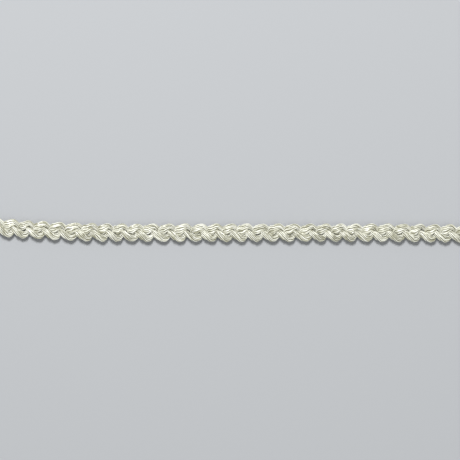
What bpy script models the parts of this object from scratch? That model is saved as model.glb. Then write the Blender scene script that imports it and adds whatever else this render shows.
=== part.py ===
# Narrow three-strand plaited braid trim, a cut length lying flat on a surface.
# Three flattened strands of parallel plies cross over and under one another, as in a hair plait.
# Metres, +Z up, +X along the braid. The origin is on the surface, under the middle of the length.

import math

import bpy
import numpy as np

# Whole braid
BRAID_WIDTH = 0.0050  # over the crests of both scalloped edges
PITCH = 0.00394  # from one crest to the next along an edge
REPEATS = 31
STRAND_COUNT = 3
CUT_LENGTH = REPEATS * PITCH
FIRST_CREST_X = 0.00035  # the crest of the first strand that lies nearest to the middle

# One strand, across its flat side and through it: it gathers at the crests and spreads at the crossings
CREST_WIDTH = 0.00140
CREST_THICKNESS = 0.00090
CROSSING_WIDTH = 0.00178
CROSSING_THICKNESS = 0.00078
EARLY_SPREAD = 2.7  # 0 spreads a strand most on the middle line, more spreads it nearer to the crests
PLY_COUNT = 8  # ridges round a strand
PLY_GROOVE = 0.12  # depth of the groove between plies, as a share of the strand's half size

# Path of a strand through the plait
SWING = (BRAID_WIDTH - CREST_WIDTH) / 2  # from the middle line to the middle of a strand at its crest
CREST_SHARPNESS = 0.03  # 0 swings like a cosine, 0.11 like a zigzag
CROSSING_RISE = 0.00092  # height of a strand over the mid plane where it is highest
CREST_LEAN = 0.36  # radians by which the lower crests follow late, which skews the plait
CREST_HURRY = 0.22  # radians gained just after each crest, so that lobes rise slowly and fall fast
MIDDLE_SHIFT = 0.00012  # the crossings' line lies this far towards +Y from the middle of the outline
STRAND_ROLL = 0.17  # radians by which a strand leans where it passes the middle line

# How the length lies
UNDERSIDE_FLAT = 0.00020  # the undersides are pressed flat by this much where they touch down
LEFT_RISE = 0.0016  # the left end curves towards +Y from the straight line by this much
LEFT_RISE_RUN = 0.0360  # over this length
RIGHT_FALL = 0.0003  # the right end curves towards -Y by this much
RIGHT_FALL_RUN = 0.0300  # over this length
SPACING_DRIFT = 0.10  # radians by which the spacing of the crests wanders
SPACING_DRIFT_RUN = 0.0275  # length of one wander
WIDTH_DRIFT = 0.00004  # by which the swing of the strands wanders
WIDTH_DRIFT_RUN = 0.0190  # length of one wander

STEPS_PER_TURN = 14  # sections in one full path of a strand
POINTS_PER_PLY = 2  # the ridge and the groove beside it
TOUCH_ANGLE = math.pi / 4  # a strand is lowest an eighth of a turn after each crest
FINE_COUNT = 4001  # places at which the angle is worked out, to find the sections between them
END_SECTION = 0.0005  # the slanted sections stay this far from the square cut ends
NEARBY = 0.00001  # how far on each side of a place the direction of a path is read

IVORY = (0.62, 0.62, 0.52)
YARN_ROUGHNESS = 0.42

TURN = STRAND_COUNT * PITCH  # length of one full path of a strand


def clear_scene():
    for thing in list(bpy.data.objects):
        bpy.data.objects.remove(thing, do_unlink=True)


def yarn_material(name):
    """A pale ivory yarn with a soft shine."""
    material = bpy.data.materials.new(name)
    material.use_nodes = True
    shader = material.node_tree.nodes["Principled BSDF"]
    shader.inputs["Base Color"].default_value = (*IVORY, 1.0)
    shader.inputs["Roughness"].default_value = YARN_ROUGHNESS
    shader.inputs["Metallic"].default_value = 0.0
    return material


def middle_line(x):
    """How far the braid's middle line lies off the X axis at x."""
    half = CUT_LENGTH / 2
    from_left = np.clip(1 - (x + half) / LEFT_RISE_RUN, 0, None)
    from_right = np.clip(1 - (half - x) / RIGHT_FALL_RUN, 0, None)
    return LEFT_RISE * from_left**2 - RIGHT_FALL * from_right**2


def plait_angle(x, number):
    """The place of a strand in its path at x: 0 at an upper crest, pi at a lower crest."""
    along = 2 * math.pi * (x - FIRST_CREST_X - number * PITCH) / TURN
    along = along + SPACING_DRIFT * np.sin(2 * math.pi * x / SPACING_DRIFT_RUN)
    hurried = CREST_HURRY / 2 * (1 - np.cos(2 * along))
    late = CREST_LEAN / 2 * (1 - np.cos(along))
    return along + hurried - late


def strand_path(x, number):
    """Middle points of a strand over the places x: a swing across, and a rise and fall twice as often."""
    angle = plait_angle(x, number)
    swing = SWING + WIDTH_DRIFT * np.sin(2 * math.pi * x / WIDTH_DRIFT_RUN + number)
    across = (np.cos(angle) + CREST_SHARPNESS * np.cos(3 * angle)) / (1 + CREST_SHARPNESS)
    y = middle_line(x) + swing * across + MIDDLE_SHIFT * np.sin(angle) ** 2
    z = -CROSSING_RISE * np.sin(2 * angle)
    return np.stack([x, y, z], axis=1)


def section_places(number):
    """The places of a strand's sections: even steps of its angle, with a step across each touch-down."""
    half = CUT_LENGTH / 2
    step = 2 * math.pi / STEPS_PER_TURN
    x = np.linspace(-half, half, FINE_COUNT)
    angle = plait_angle(x, number)
    first = math.ceil((angle[0] - TOUCH_ANGLE) / step)
    last = math.floor((angle[-1] - TOUCH_ANGLE) / step)
    inner = np.interp(TOUCH_ANGLE + step * (np.arange(first, last) + 0.5), angle, x)
    inner = inner[np.abs(inner) < half - END_SECTION]
    return np.concatenate([[-half], inner, [half]])


def strand_frames(x, number):
    """Unit vectors along the path, across the flat side of the strand, and out of its flat side."""
    roll = STRAND_ROLL * np.sin(plait_angle(x, number))
    along = strand_path(x + NEARBY, number) - strand_path(x - NEARBY, number)
    along /= np.linalg.norm(along, axis=1, keepdims=True)
    across = np.cross([0.0, 0.0, 1.0], along)
    across /= np.linalg.norm(across, axis=1, keepdims=True)
    out = np.cross(along, across)
    c, s = np.cos(roll)[:, None], np.sin(roll)[:, None]
    return along, across * c + out * s, out * c - across * s


def strand_section():
    """Once round a strand, as shares of its half width and half thickness: a ridge for each ply."""
    count = PLY_COUNT * POINTS_PER_PLY
    angle = 2 * math.pi * np.arange(count) / count
    groove = 1 - PLY_GROOVE * (1 - np.cos(PLY_COUNT * angle)) / 2
    return groove * np.cos(angle), groove * np.sin(angle)


def spread_share(angle):
    """How far a strand has spread: nothing at the crests, the squared sine raised on its shoulders."""
    return np.sin(angle) ** 2 * (1 + EARLY_SPREAD * np.cos(angle) ** 2)


def between(at_crest, at_crossing, angle):
    """A size that changes from the crests to the crossings, which lie a sixth of a turn from them."""
    share = spread_share(angle) / spread_share(math.pi / STRAND_COUNT)
    return at_crest + (at_crossing - at_crest) * share


def strand_points(number):
    """Rings of points along a strand, both ends cut square across the braid."""
    x = section_places(number)
    angle = plait_angle(x, number)
    path = strand_path(x, number)
    along, across, out = strand_frames(x, number)
    half_width = between(CREST_WIDTH, CROSSING_WIDTH, angle) / 2
    half_thickness = between(CREST_THICKNESS, CROSSING_THICKNESS, angle) / 2
    share_across, share_out = strand_section()
    offset_across = half_width[:, None] * share_across
    offset_out = half_thickness[:, None] * share_out
    points = path[:, None] + across[:, None] * offset_across[..., None] + out[:, None] * offset_out[..., None]
    for end, wall in ((0, x[0]), (-1, x[-1])):
        slide = (wall - points[end, :, 0]) / along[end, 0]
        points[end] += slide[:, None] * along[end]
    return points


def strand_mesh(name, points, origin):
    """A closed tube through the rings, with a fan of triangles over each end."""
    rings, count = points.shape[:2]
    mesh = bpy.data.meshes.new(name)
    ring, spot = np.meshgrid(np.arange(rings - 1), np.arange(count), indexing="ij")
    here, beside = ring * count + spot, ring * count + (spot + 1) % count
    walls = np.stack([here, beside, beside + count, here + count], axis=-1).reshape(-1, 4)
    first, last = rings * count, rings * count + 1
    spots = np.arange(count)
    start = np.stack([np.full(count, first), (spots + 1) % count, spots], axis=1)
    base = (rings - 1) * count
    finish = np.stack([np.full(count, last), base + spots, base + (spots + 1) % count], axis=1)
    middles = np.stack([points[0].mean(axis=0), points[-1].mean(axis=0)])
    vertices = np.concatenate([points.reshape(-1, 3), middles]) - origin
    faces = walls.tolist() + start.tolist() + finish.tolist()
    mesh.from_pydata(vertices.tolist(), [], faces)
    mesh.update()
    mesh.shade_smooth()
    mesh.set_sharp_from_angle(angle=math.radians(60))
    return mesh


def make_strands(braid):
    """The plaited strands, pressed flat on the surface under them, each with its origin under a crest."""
    rings = [strand_points(number) for number in range(STRAND_COUNT)]
    lowest = min(points[..., 2].min() for points in rings)
    sides = [edge for points in rings for edge in (points[..., 1].min(), points[..., 1].max())]
    aside = (min(sides) + max(sides)) / 2
    for number, points in enumerate(rings):
        points[..., 1] -= aside
        points[..., 2] = np.maximum(points[..., 2] - lowest - UNDERSIDE_FLAT, 0.0)
        crest_x = FIRST_CREST_X + number * PITCH
        origin = np.array([crest_x, float(middle_line(crest_x)) - aside, 0.0])
        name = "strand_" + "abc"[number]
        strand = bpy.data.objects.new(name, strand_mesh(name, points, origin))
        strand.data.materials.append(yarn_material(name + "_yarn"))
        strand.location = origin
        strand.parent = braid
        bpy.context.scene.collection.objects.link(strand)


def main():
    clear_scene()
    braid = bpy.data.objects.new("braid_trim", None)
    bpy.context.scene.collection.objects.link(braid)
    make_strands(braid)


main()
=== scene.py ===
import math

import bpy
import numpy as np
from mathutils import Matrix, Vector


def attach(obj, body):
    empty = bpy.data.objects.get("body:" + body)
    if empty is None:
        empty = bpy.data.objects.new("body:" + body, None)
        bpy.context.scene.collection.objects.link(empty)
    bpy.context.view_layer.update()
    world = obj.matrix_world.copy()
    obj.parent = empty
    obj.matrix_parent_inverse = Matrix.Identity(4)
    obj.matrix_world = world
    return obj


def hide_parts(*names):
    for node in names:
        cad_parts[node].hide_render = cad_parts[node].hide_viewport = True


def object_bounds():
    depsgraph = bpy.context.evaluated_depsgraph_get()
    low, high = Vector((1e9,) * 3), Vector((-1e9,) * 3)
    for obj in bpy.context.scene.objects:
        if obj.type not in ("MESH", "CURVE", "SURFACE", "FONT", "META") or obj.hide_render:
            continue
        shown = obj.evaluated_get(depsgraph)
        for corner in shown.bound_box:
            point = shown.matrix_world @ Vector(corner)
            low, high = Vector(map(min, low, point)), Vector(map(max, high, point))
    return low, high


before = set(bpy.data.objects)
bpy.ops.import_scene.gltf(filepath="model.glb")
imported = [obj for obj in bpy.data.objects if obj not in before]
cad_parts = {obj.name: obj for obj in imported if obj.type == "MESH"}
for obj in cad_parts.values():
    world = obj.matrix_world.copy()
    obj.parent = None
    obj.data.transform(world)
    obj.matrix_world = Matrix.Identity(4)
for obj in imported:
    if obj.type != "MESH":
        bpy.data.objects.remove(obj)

# A narrow three-strand plaited braid trim in shiny ivory yarn, a cut length lying flat.
# Metres, +X along the braid, +Z up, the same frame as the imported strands.

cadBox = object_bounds()
cadLow, cadHigh = np.array(cadBox[0]), np.array(cadBox[1])
cutLength = float(cadHigh[0] - cadLow[0])
halfLength = cutLength / 2
boxOverMiddle = 0.00392  # from the straight stretch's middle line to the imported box's +Y side
mmPerMetre = 1000
nearby = 0.00001  # how far on each side of a place a direction is read
print("frame loaded, cut length", round(cutLength, 4))

# How the length lies, as seen from above
lie = {
    "leftRise": 0.0016,  # the left end curves towards +Y by this much
    "leftRiseRun": 0.0360,  # over this length
    "rightFall": 0.0003,  # and the right end towards -Y
    "rightFallRun": 0.0300,
    "aside": float(cadHigh[1] - boxOverMiddle),  # y of the straight stretch's middle line
    "softness": 0.00006,  # how softly the undersides press flat
    "lineSteps": 123,  # points along the middle line
}


def middleLine(x):
    # y = aside + leftRise (1 - distance from the left end / run)^2 - rightFall (the same on the right)^2
    fromLeft = np.clip(1 - (x + halfLength) / lie["leftRiseRun"], 0, None)
    fromRight = np.clip(1 - (halfLength - x) / lie["rightFallRun"], 0, None)
    return lie["aside"] + lie["leftRise"] * fromLeft**2 - lie["rightFall"] * fromRight**2


def pressedFlat(z):
    # (z + sqrt(z^2 + softness^2)) / 2: what lay under the surface lies on it, and the rest hardly moves
    return (z + np.sqrt(z**2 + lie["softness"] ** 2)) / 2


# The plait. One strand's path and width repeat after three pitches, and are given at even steps of that
# turn, from the strand's upper crest on.
plait = {
    "pitch": 0.00394,  # from crest to crest along an edge
    "strands": 3,
    "firstCrest": 0.00035,
    "steps": 20,
    "height": (0.34, 0.14, -0.06, -0.30, -0.56, -0.73, -0.32, 0.36, 0.76, 0.95,
               0.82, 0.52, 0.12, -0.26, -0.56, -0.66, -0.34, 0.45, 0.90, 0.74),  # shares of the rise
    "rise": 0.00064,  # height over the mid plane where a strand is highest
    "midHeight": 0.00106,  # the mid plane over the surface
    "thickness": 0.00102,  # of a strand where it is as wide as the next value
    "widthThere": 0.00170,
    "thinning": 0.45,  # power by which a spread strand gets thinner
    "roll": 0.10,  # radians, where a strand passes the middle line
    "spacingDrift": 0.10,  # radians by which the spacing of the crests wanders
    "spacingDriftRun": 0.0275,
    "sway": 0.05,  # by which a strand's path wanders, as a share of its swing
    "swell": 0.08,  # and its width
    "wanderRuns": (0.0052, 0.0083, 0.0190),  # lengths of those wanders
    "wanderShift": 2.4,  # radians between one wander and the next
}

# The edges of one strand seen from above, read off the photo's bands. A point is its
# place in pitches from the strand's upper crest, its mm from the middle line, and how much it counts.
edges = {
    "upper": (
        (-0.68, 0.25, 1.0), (-0.62, 0.55, 1.0), (-0.56, 1.10, 1.0), (-0.50, 1.50, 1.5), (-0.45, 1.75, 2.0),
        (-0.31, 2.10, 2.0), (-0.15, 2.33, 2.0), (0.00, 2.42, 3.0), (0.10, 2.36, 2.0), (0.22, 2.12, 2.0),
        (0.35, 1.80, 2.0), (0.45, 1.55, 2.0), (0.60, 1.15, 0.6), (0.75, 0.95, 0.6), (0.90, 0.95, 0.6),
        (1.10, 0.88, 1.2), (1.25, 0.50, 1.0), (1.38, 0.15, 1.0), (1.50, -0.18, 1.0), (1.60, -0.38, 1.0),
        (1.708, -0.42, 1.0), (1.80, -0.15, 1.0), (1.90, 0.28, 1.0), (2.00, 0.60, 0.8), (2.14, 0.95, 0.8),
        (2.22, 0.85, 0.6),
    ),
    "lower": (
        (-0.40, -0.62, 1.0), (-0.30, -0.56, 1.0), (-0.20, -0.24, 1.0), (-0.10, 0.15, 1.0), (0.00, 0.46, 1.0),
        (0.10, 0.70, 1.2), (0.24, 0.52, 1.0), (0.40, 0.10, 0.6), (0.50, -0.25, 0.6), (0.60, -0.50, 0.6),
        (0.75, -0.45, 0.6), (0.90, -0.20, 0.5), (1.02, -0.65, 1.0), (1.08, -0.90, 1.0), (1.14, -1.25, 2.0),
        (1.20, -1.50, 2.0), (1.39, -2.00, 3.0), (1.55, -2.30, 3.0), (1.708, -2.43, 3.0), (1.80, -2.35, 2.0),
        (1.89, -2.10, 2.0), (1.99, -1.65, 1.5), (2.11, -1.35, 1.0), (2.25, -1.10, 0.6),
    ),
    "smoothness": 0.10,  # how much smooth curves count beside the points
    "usualHalf": 0.85,  # mm, the half extent that the steps lean towards where no edge shows
    "usualPull": 0.03,
    "decimals": 2,  # the steps are rounded to a hundredth of a mm
}


def roundTurn(steps, angle):
    # The smoothest periodic curve through even steps of a turn: the sum of their Fourier terms
    terms = np.fft.rfft(steps) / len(steps)
    weights = np.full(len(terms), 2.0)
    weights[[0, -1]] = 1.0
    waves = np.exp(1j * np.asarray(angle)[..., None] * np.arange(len(terms)))
    return (waves * terms * weights).real.sum(axis=-1)


def edgeRows(points, side):
    # One row a point: weight (middle + side * half extent at its place) = weight (its distance aside)
    place, aside, weight = np.array(points).T
    angle = 2 * math.pi * place / plait["strands"]
    curves = np.stack([roundTurn(step, angle) for step in np.eye(plait["steps"])], axis=1)
    rows = curves * weight[:, None]
    return np.hstack([rows, side * rows]), weight * aside


def strandSteps():
    # The strand's middle and half extent in mm at even steps, as the least squares of: the edges' distances
    # from their points, the change of the middle's bend, the half extent's bend and its way from the usual.
    one = np.eye(plait["steps"])
    none = np.zeros_like(one)
    before, after = np.roll(one, 1, axis=0), np.roll(one, -1, axis=0)
    bend = before + after - 2 * one
    upperRows, upperAside = edgeRows(edges["upper"], 1)
    lowerRows, lowerAside = edgeRows(edges["lower"], -1)
    rows = [
        upperRows,
        lowerRows,
        np.hstack([edges["smoothness"] * (before - after) @ bend, none]),
        np.hstack([none, edges["smoothness"] * bend]),
        np.hstack([none, edges["usualPull"] * one]),
    ]
    usual = np.full(plait["steps"], edges["usualPull"] * edges["usualHalf"])
    wanted = [upperAside, lowerAside, none[0], none[0], usual]
    found = np.linalg.lstsq(np.vstack(rows), np.concatenate(wanted), rcond=None)[0]
    return np.round(found.reshape(2, -1), edges["decimals"])


middleSteps, extentSteps = strandSteps()
print("strand shape from", len(edges["upper"]) + len(edges["lower"]), "edge points")


def plaitAngle(x, number):
    # 2 pi (x - the strand's crest) / turn, with a slow drift: 0 and 2 pi at its upper crests
    turn = plait["strands"] * plait["pitch"]
    u = 2 * math.pi * (x - plait["firstCrest"] - number * plait["pitch"]) / turn
    return u + plait["spacingDrift"] * np.sin(2 * math.pi * x / plait["spacingDriftRun"])


def strandWander(x, which):
    # The sum of sines of 2 pi x / run over the root of their number, each shifted against the one before
    runs = plait["wanderRuns"]
    shifts = [plait["wanderShift"] * (which * len(runs) + i) for i in range(len(runs))]
    waves = [np.sin(2 * math.pi * x / run + shift) for run, shift in zip(runs, shifts)]
    return sum(waves) / math.sqrt(len(waves))


def strandPath(x, number):
    # y = middle line + middle steps (1 + sway * wander), z = mid height + rise * height steps
    a = plaitAngle(x, number)
    swing = roundTurn(middleSteps, a) * (1 + plait["sway"] * strandWander(x, number))
    y = middleLine(x) + swing / mmPerMetre
    z = plait["midHeight"] + plait["rise"] * roundTurn(plait["height"], a)
    return np.stack([x, y, z], axis=1)


def strandFrames(x, number):
    # Along is the path's direction, across is level and square to it, out is their cross product,
    # and both are rolled by roll sin a.
    along = strandPath(x + nearby, number) - strandPath(x - nearby, number)
    along /= np.linalg.norm(along, axis=1, keepdims=True)
    across = np.cross([0.0, 0.0, 1.0], along)
    across /= np.linalg.norm(across, axis=1, keepdims=True)
    out = np.cross(along, across)
    roll = plait["roll"] * np.sin(plaitAngle(x, number))[:, None]
    return across * np.cos(roll) + out * np.sin(roll), out * np.cos(roll) - across * np.sin(roll)


def strandHalves(x, number):
    # half width = half extent / sqrt(1 + slope^2), with the path's slope as seen from above, and
    # half thickness = thickness / 2 (width there / width)^thinning
    extent = roundTurn(extentSteps, plaitAngle(x, number)) / mmPerMetre
    extent = extent * (1 + plait["swell"] * strandWander(x, number + plait["strands"]))
    slope = (strandPath(x + nearby, number)[:, 1] - strandPath(x - nearby, number)[:, 1]) / (2 * nearby)
    halfWidth = extent / np.sqrt(1 + slope**2)
    halfThick = plait["thickness"] / 2 * (plait["widthThere"] / (2 * halfWidth)) ** plait["thinning"]
    return halfWidth, halfThick


# The plies of one strand wind slowly round its core, their places and sizes being shares of the
# strand's half width and half thickness
plies = {
    "count": 9,
    "turnLength": 0.0210,  # in which a ply goes once round
    "lobeRoll": 0.28,  # turns more at each lower lobe, where the strand rolls over its edge
    "lobeAt": 3.58,  # the middle of that roll, in radians after the strand's upper crest
    "lobeTightness": 4.0,  # more makes that roll shorter
    "rollMargin": 0.002,  # that roll is summed up from this far outside the cut ends
    "rollSteps": 4001,
    "ringAcross": 0.80,  # the ring on which the plies lie
    "ringOut": 0.62,
    "ringSteps": 181,
    "halfAcross": 0.19,
    "halfOut": 0.36,
    "coreAcross": 0.74,
    "coreOut": 0.44,
    "coreShort": 0.0002,  # the core ends this far inside the cut ends
    "sides": 6,
    "steps": 520,
    "wander": 0.018,  # how far a ply strays round the ring, as a share of it
    "lift": 0.20,  # and out of it
    "swell": 0.14,  # how much its thickness varies
    "waverRuns": (0.0031, 0.0053, 0.0117),  # lengths over which these three vary
    "endSpread": 0.10,  # the cut ends loosen by this share
    "endRun": 0.0020,
    "endSection": 0.0008,  # the slanted rings stay this far from the square cut ends
    "endJitter": 0.00012,  # the plies' cut ends are not quite level
    "patternShift": (0.0037, 0.0011, 0.0),  # moves the yarn's pattern from each ply to the next
    "sharpAngle": 60,  # degrees between faces, over which an edge is shaded sharp
    "seed": 11,
}


def waver(x, rng):
    # A smooth wander: the sum of sines of 2 pi x / run with random phases, over the root of their number
    runs = plies["waverRuns"]
    waves = [np.sin(2 * math.pi * x / run + rng.uniform(0, 2 * math.pi)) for run in runs]
    return sum(waves) / math.sqrt(len(runs))


def ringPlace(share):
    # The angle in an ellipse at a share of its length, so that plies lie evenly round it
    angle = np.linspace(0, 2 * math.pi, plies["ringSteps"])
    wide = plies["ringAcross"] * plait["widthThere"]
    thick = plies["ringOut"] * plait["thickness"]
    run = np.cumsum(np.hypot(wide * np.sin(angle), thick * np.cos(angle)))
    run = (run - run[0]) / (run[-1] - run[0])
    return np.interp(share - np.floor(share), run, angle)


def windingTurns(x, number):
    # x / turn length + lobe roll times the running sum of e^(k cos(a - lobe)), which is 1 for each turn
    outside = halfLength + plies["rollMargin"]
    fine = np.linspace(-outside, outside, plies["rollSteps"])
    a = plaitAngle(fine, number)
    k = plies["lobeTightness"]
    share = np.exp(k * np.cos(a - plies["lobeAt"])) / np.i0(k) / (2 * math.pi)
    rolled = np.cumsum(share * np.gradient(a))
    return x / plies["turnLength"] + plies["lobeRoll"] * np.interp(x, fine, rolled)


def plyPlaces(core, rng):
    # Even steps along the braid, and the cut ends, which differ from ply to ply. The core's end short.
    ends = rng.uniform(-1, 1, 2) * plies["endJitter"]
    if core:
        ends = np.array([1, -1]) * plies["coreShort"]
    inner = halfLength - plies["endSection"]
    x = np.linspace(-inner, inner, plies["steps"] - 1)
    return np.concatenate([[-halfLength + ends[0]], x, [halfLength + ends[1]]])


def plyTube(number, place, rng):
    # point = path + (pa W + ra W cos t) across + (pb T + rb T sin t) out, t once round the ply, its
    # place (pa, pb) going round the ring once in a turn length, and the core's staying in the middle.
    # Inward is 0 on a ply's outer side, 1 on its inner side and all over the core; the yarn paints shade by
    # it.
    core = place is None
    x = plyPlaces(core, rng)
    across, out = strandFrames(x, number)
    loose = np.clip(1 - (halfLength - np.abs(x)) / plies["endRun"], 0, None) ** 2 * plies["endSpread"]
    halfWidth, halfThick = (half * (1 + loose) for half in strandHalves(x, number))
    # the end rings are cut square to the braid, and so as wide as the strand is across it
    for end in (0, -1):
        halfWidth[end] /= across[end, 1]
        across[end], out[end] = (0, 1, 0), (0, 0, 1)
    turns = (0 if core else place) + windingTurns(x, number) + plies["wander"] * waver(x, rng)
    winding = ringPlace(turns)
    lift = 1 + plies["lift"] * waver(x, rng)
    size = 1 + plies["swell"] * waver(x, rng)
    ring = 0.0 if core else 1.0
    placeAcross = ring * plies["ringAcross"] * np.cos(winding) * halfWidth
    placeOut = ring * plies["ringOut"] * np.sin(winding) * lift * halfThick
    sizeAcross = plies["coreAcross" if core else "halfAcross"] * halfWidth * size
    sizeOut = plies["coreOut" if core else "halfOut"] * halfThick * size
    t = 2 * math.pi * np.arange(plies["sides"]) / plies["sides"]
    offAcross = placeAcross[:, None] + sizeAcross[:, None] * np.cos(t)
    offOut = placeOut[:, None] + sizeOut[:, None] * np.sin(t)
    points = strandPath(x, number)[:, None] + across[:, None] * offAcross[..., None]
    points = points + out[:, None] * offOut[..., None]
    points[..., 2] = pressedFlat(points[..., 2])
    radius = (sizeAcross + sizeOut).mean() / 2
    own = np.broadcast_arrays(radius * np.cos(t)[None], radius * np.sin(t)[None], x[:, None])
    inward = np.ones_like(offAcross) if core else 0.5 - 0.5 * np.cos(t - winding[:, None])
    return points, np.stack(own, axis=-1), inward


def tubeFaces(rings, sides, start):
    # Quads between rings, and one flat face over each end
    i, j = np.meshgrid(np.arange(rings - 1), np.arange(sides), indexing="ij")
    here, beside = start + i * sides + j, start + i * sides + (j + 1) % sides
    walls = np.stack([here, beside, beside + sides, here + sides], axis=-1).reshape(-1, 4)
    first = (start + np.arange(sides))[::-1]
    last = start + (rings - 1) * sides + np.arange(sides)
    return walls.tolist() + [first.tolist(), last.tolist()]


def makeBraid():
    # All the strands' cores and plies in one mesh, with two attributes that the yarn reads
    rng = np.random.default_rng(plies["seed"])
    points, coords, inwards, faces = [], [], [], []
    count = 0
    for number in range(plait["strands"]):
        for place in [None, *(np.arange(plies["count"]) / plies["count"])]:
            tube, tubeCoords, inward = plyTube(number, place, rng)
            faces += tubeFaces(tube.shape[0], tube.shape[1], count)
            count += tube.shape[0] * tube.shape[1]
            tubeCoords = tubeCoords + len(points) * np.array(plies["patternShift"])
            points.append(tube.reshape(-1, 3))
            coords.append(tubeCoords.reshape(-1, 3))
            inwards.append(inward.ravel())
    mesh = bpy.data.meshes.new("braid")
    mesh.from_pydata(np.concatenate(points).tolist(), [], faces)
    layer = mesh.attributes.new("plyCoords", "FLOAT_VECTOR", "POINT")
    layer.data.foreach_set("vector", np.concatenate(coords).astype(np.float32).ravel())
    layer = mesh.attributes.new("inward", "FLOAT", "POINT")
    layer.data.foreach_set("value", np.concatenate(inwards).astype(np.float32))
    mesh.update()
    mesh.shade_smooth()
    mesh.set_sharp_from_angle(angle=math.radians(plies["sharpAngle"]))
    braid = bpy.data.objects.new("braid", mesh)
    bpy.context.scene.collection.objects.link(braid)
    print("braid", len(faces), "faces")
    return braid


# The yarn: pale ivory rayon, fine parallel filaments
yarn = {
    "deep": (0.315, 0.308, 0.205),
    "ivory": (0.75, 0.745, 0.62),
    "bright": (0.95, 0.95, 0.87),
    "deepAt": 0.38,  # where the streaks' noise gives each of these three
    "ivoryAt": 0.50,
    "brightAt": 0.60,
    "groove": (0.245, 0.238, 0.152),  # painted shade between the plies and over the whole core
    "grooveFrom": 0.14,  # where the painted shade begins and is full, as shares of the way inward
    "grooveTo": 0.60,
    "filament": 0.00007,  # width of one streak
    "streakLength": 0.0040,
    "streakDetail": 2.0,
    "toneWidth": 0.00050,  # of the slower changes of tone
    "toneLength": 0.0011,
    "toneDetail": 1.5,
    "toneShare": 0.6,  # of the tone beside the streaks
    "roughLow": 0.18,
    "roughHigh": 0.40,
    "bump": 0.7,
    "bumpDepth": 0.00006,
    "sheen": 0.15,
    "specular": 0.9,
}


def addNode(tree, kind, x, y, **values):
    node = tree.nodes.new(kind)
    node.location = (x, y)
    for name, value in values.items():
        setattr(node, name, value)
    return node


def setInputs(node, values):
    for name, value in values.items():
        node.inputs[name].default_value = value


def stretchedNoise(tree, source, width, length, detail, y):
    # Noise on the ply's own coordinates, width across the ply and length along it
    scale = addNode(tree, "ShaderNodeMapping", -900, y)
    noise = addNode(tree, "ShaderNodeTexNoise", -700, y)
    setInputs(scale, {"Scale": (1 / width, 1 / width, 1 / length)})
    setInputs(noise, {"Scale": 1.0, "Detail": detail})
    tree.links.new(source, scale.inputs["Vector"])
    tree.links.new(scale.outputs["Vector"], noise.inputs["Vector"])
    return noise.outputs["Fac"]


def yarnTones(tree):
    # The ramp from deep over ivory to bright
    ramp = addNode(tree, "ShaderNodeValToRGB", -300, 100)
    stops = ramp.color_ramp.elements
    stops[0].position, stops[0].color = yarn["deepAt"], (*yarn["deep"], 1)
    stops[1].position, stops[1].color = yarn["brightAt"], (*yarn["bright"], 1)
    middle = stops.new(yarn["ivoryAt"])
    middle.color = (*yarn["ivory"], 1)
    return ramp


def yarnMaterial():
    # Streaks and tone mix into the colour, and shade is painted over it in the grooves between the plies
    # and on the core. Tone makes the roughness, and streaks the bump.
    material = bpy.data.materials.new("ivoryYarn")
    material.use_nodes = True
    tree = material.node_tree
    shader = tree.nodes["Principled BSDF"]
    coords = addNode(tree, "ShaderNodeAttribute", -1100, 0, attribute_name="plyCoords").outputs["Vector"]
    streaks = stretchedNoise(tree, coords, yarn["filament"], yarn["streakLength"], yarn["streakDetail"], 100)
    tone = stretchedNoise(tree, coords, yarn["toneWidth"], yarn["toneLength"], yarn["toneDetail"], -300)
    mixed = addNode(tree, "ShaderNodeMix", -500, 0, data_type="FLOAT")
    ramp = yarnTones(tree)
    # painted shade: the groove colour is mixed in towards each ply's inner side and all over the core
    paintedShadeMask = addNode(tree, "ShaderNodeAttribute", -500, 450, attribute_name="inward")
    grooved = addNode(tree, "ShaderNodeMapRange", -300, 450)
    colour = addNode(tree, "ShaderNodeMix", -100, 300, data_type="RGBA")
    rough = addNode(tree, "ShaderNodeMapRange", -300, -200)
    bump = addNode(tree, "ShaderNodeBump", -300, -450)
    setInputs(mixed, {"Factor": yarn["toneShare"]})
    setInputs(grooved, {"From Min": yarn["grooveFrom"], "From Max": yarn["grooveTo"]})
    setInputs(colour, {"B": (*yarn["groove"], 1)})
    setInputs(rough, {"To Min": yarn["roughLow"], "To Max": yarn["roughHigh"]})
    setInputs(bump, {"Strength": yarn["bump"], "Distance": yarn["bumpDepth"]})
    setInputs(shader, {
        "Sheen Weight": yarn["sheen"],
        "Specular IOR Level": yarn["specular"],
        "Metallic": 0.0,
    })
    links = [
        (streaks, mixed.inputs["A"]),
        (tone, mixed.inputs["B"]),
        (mixed.outputs["Result"], ramp.inputs["Fac"]),
        (paintedShadeMask.outputs["Fac"], grooved.inputs["Value"]),
        (grooved.outputs["Result"], colour.inputs["Factor"]),
        (ramp.outputs["Color"], colour.inputs["A"]),
        (colour.outputs["Result"], shader.inputs["Base Color"]),
        (tone, rough.inputs["Value"]),
        (rough.outputs["Result"], shader.inputs["Roughness"]),
        (streaks, bump.inputs["Height"]),
        (bump.outputs["Normal"], shader.inputs["Normal"]),
    ]
    for source, target in links:
        tree.links.new(source, target)
    print("yarn ready")
    return material


# The photo's view: straight down, with the braid across the whole picture
view = {
    "across": 0.11625,  # metres across the picture
    "lens": 180.0,
    "sensor": 36.0,
    "belowMiddle": 0.00068,  # the braid's straight stretch lies this far below the picture's middle
    "nearest": 0.01,
    "farthest": 10,
}


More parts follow.
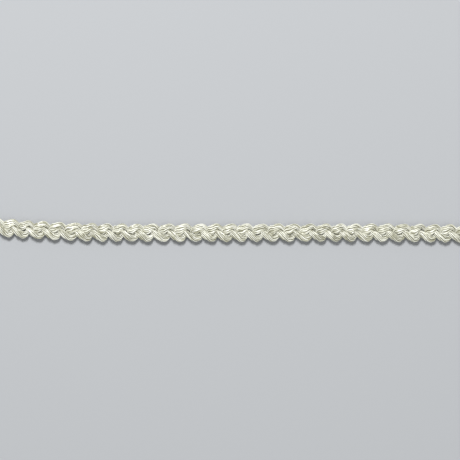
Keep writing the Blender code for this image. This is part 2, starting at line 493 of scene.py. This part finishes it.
def makeCamera():
    data = bpy.data.cameras.new("camera")
    data.lens = view["lens"]
    data.sensor_width = view["sensor"]
    data.clip_start = view["nearest"]
    data.clip_end = view["farthest"]
    camera = bpy.data.objects.new("camera", data)
    height = view["across"] * view["lens"] / view["sensor"]
    camera.location = (0, lie["aside"] + view["belowMiddle"], height)
    bpy.context.scene.collection.objects.link(camera)
    bpy.context.scene.camera = camera
    print("camera at", round(height, 3), "m")


# Plain floor and soft studio light
studio = {
    "floorSize": 3.0,
    "floor": (0.40, 0.41, 0.425),
    "floorRoughness": 0.9,
    "floorSpecular": 0.1,
    "key": {"place": (-0.12, 0.42, 0.64), "size": 0.20, "power": 6.5},
    "fill": {"place": (0.50, -0.30, 0.70), "size": 0.6, "power": 1.2},
    "sky": (0.85, 0.87, 0.87),
    "skyStrength": 0.50,
}


def makeFloor():
    half = studio["floorSize"] / 2
    corners = [(-half, -half, 0), (half, -half, 0), (half, half, 0), (-half, half, 0)]
    mesh = bpy.data.meshes.new("floor")
    mesh.from_pydata(corners, [], [(0, 1, 2, 3)])
    floor = bpy.data.objects.new("floor", mesh)
    material = bpy.data.materials.new("paleFloor")
    material.use_nodes = True
    setInputs(material.node_tree.nodes["Principled BSDF"], {
        "Base Color": (*studio["floor"], 1),
        "Roughness": studio["floorRoughness"],
        "Specular IOR Level": studio["floorSpecular"],
    })
    mesh.materials.append(material)
    bpy.context.scene.collection.objects.link(floor)


def makeLight(name):
    # A square lamp that points at the braid's middle
    values = studio[name]
    data = bpy.data.lights.new(name, "AREA")
    data.size = values["size"]
    data.energy = values["power"]
    light = bpy.data.objects.new(name, data)
    light.location = values["place"]
    toMiddle = -light.location
    light.rotation_euler = toMiddle.to_track_quat("-Z", "Y").to_euler()
    bpy.context.scene.collection.objects.link(light)


def makeStudio():
    makeFloor()
    for name in ("key", "fill"):
        makeLight(name)
    world = bpy.data.worlds.new("studio")
    world.use_nodes = True
    setInputs(world.node_tree.nodes["Background"], {
        "Color": (*studio["sky"], 1),
        "Strength": studio["skyStrength"],
    })
    bpy.context.scene.world = world
    print("studio ready")


# The pale yarn has more contrast in the photo than the default view transform gives
bpy.context.scene.view_settings.view_transform = "Standard"
makeCamera()
braid = makeBraid()
braid.data.materials.append(yarnMaterial())
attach(braid, "root")
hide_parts("strand_a", "strand_b", "strand_c")

# The floor that the braid lies on, the lamps and the sky
makeStudio()
